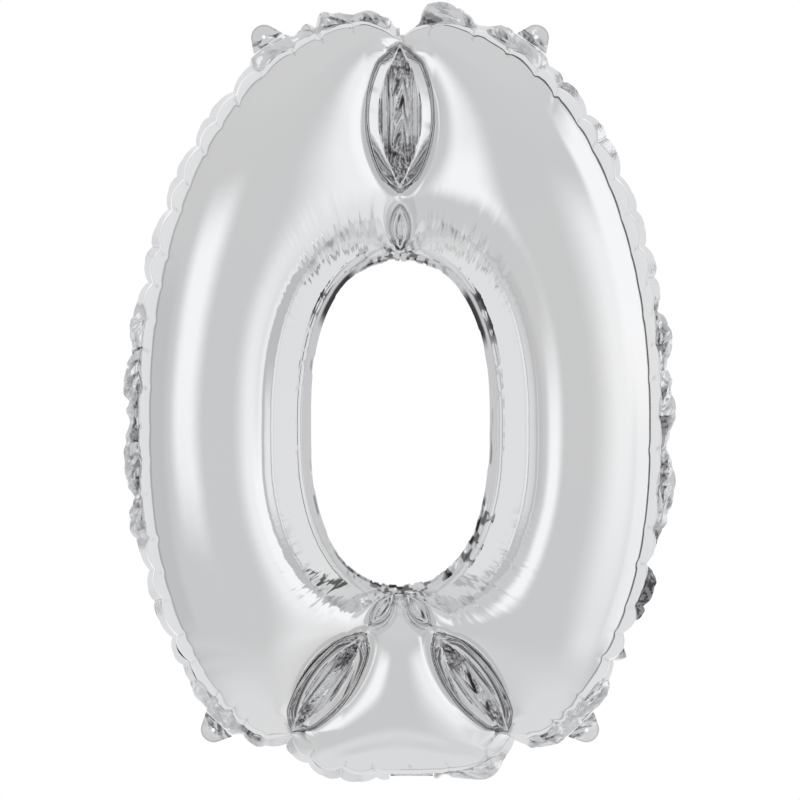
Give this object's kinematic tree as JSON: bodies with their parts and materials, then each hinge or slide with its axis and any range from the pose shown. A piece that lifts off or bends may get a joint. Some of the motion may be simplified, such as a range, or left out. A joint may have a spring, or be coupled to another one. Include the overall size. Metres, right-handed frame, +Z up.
{
  "type": "foil number balloon",
  "caption": "Silver foil balloon shaped as the digit zero: a puffed ring with almond-shaped divider welds, a puckered margin, ribbon tabs and a folded filling neck.",
  "frame": {"origin": "centre of the bounding box of the inflated balloon with its tabs", "axes": "+Z up along the digit's height, -Y out of the digit's front, +X towards the digit's right as seen from the front"},
  "size_m": [0.233, 0.075, 0.3296],
  "materials": {
    "silver_foil": "mirror-bright metallised plastic film",
    "fused_foil": "the same film, both layers heat-sealed together, finely embossed and crumpled",
    "clear_film": "thin clear polyethylene film"
  },
  "bodies": {
    "balloon": {"front_foil_panel": "silver_foil", "back_foil_panel": "silver_foil", "outer_seam_margin": "fused_foil", "inner_seam_margin": "fused_foil", "top_divider_weld": "fused_foil", "top_divider_tip_weld": "fused_foil", "left_divider_weld": "fused_foil", "left_divider_tip_weld": "fused_foil", "right_divider_weld": "fused_foil", "right_divider_tip_weld": "fused_foil", "valve_front_film": "clear_film", "valve_back_film": "clear_film", "valve_side_welds": "clear_film"},
    "upper_left_tab": {"upper_left_hang_tab": "fused_foil"},
    "upper_right_tab": {"upper_right_hang_tab": "fused_foil"},
    "lower_left_tab": {"lower_left_hang_tab": "fused_foil"},
    "lower_right_tab": {"lower_right_hang_tab": "fused_foil"},
    "neck": {"neck_front_foil": "silver_foil", "neck_back_foil": "silver_foil", "neck_side_welds": "fused_foil", "neck_front_film": "clear_film", "neck_back_film": "clear_film"}
  },
  "joints": [
    {"name": "upper_left_tab_fold", "type": "hinge", "parent": "balloon", "child": "upper_left_tab", "pos_m": [-0.05589, 0, 0.15044], "axis": [0.8161, 0, 0.5778], "range_deg": [-90, 90]},
    {"name": "upper_right_tab_fold", "type": "hinge", "parent": "balloon", "child": "upper_right_tab", "pos_m": [0.05589, 0, 0.15044], "axis": [0.8161, 0, -0.5778], "range_deg": [-90, 90]},
    {"name": "lower_left_tab_fold", "type": "hinge", "parent": "balloon", "child": "lower_left_tab", "pos_m": [-0.07683, 0, -0.13834], "axis": [-0.7202, 0, 0.6938], "range_deg": [-90, 90]},
    {"name": "lower_right_tab_fold", "type": "hinge", "parent": "balloon", "child": "lower_right_tab", "pos_m": [0.07683, 0, -0.13834], "axis": [-0.7202, 0, -0.6938], "range_deg": [-90, 90]},
    {"name": "neck_fold", "type": "hinge", "parent": "balloon", "child": "neck", "pos_m": [0.005, 0, -0.16011], "axis": [-1, 0, 0], "range_deg": [0, 90]}
  ]
}
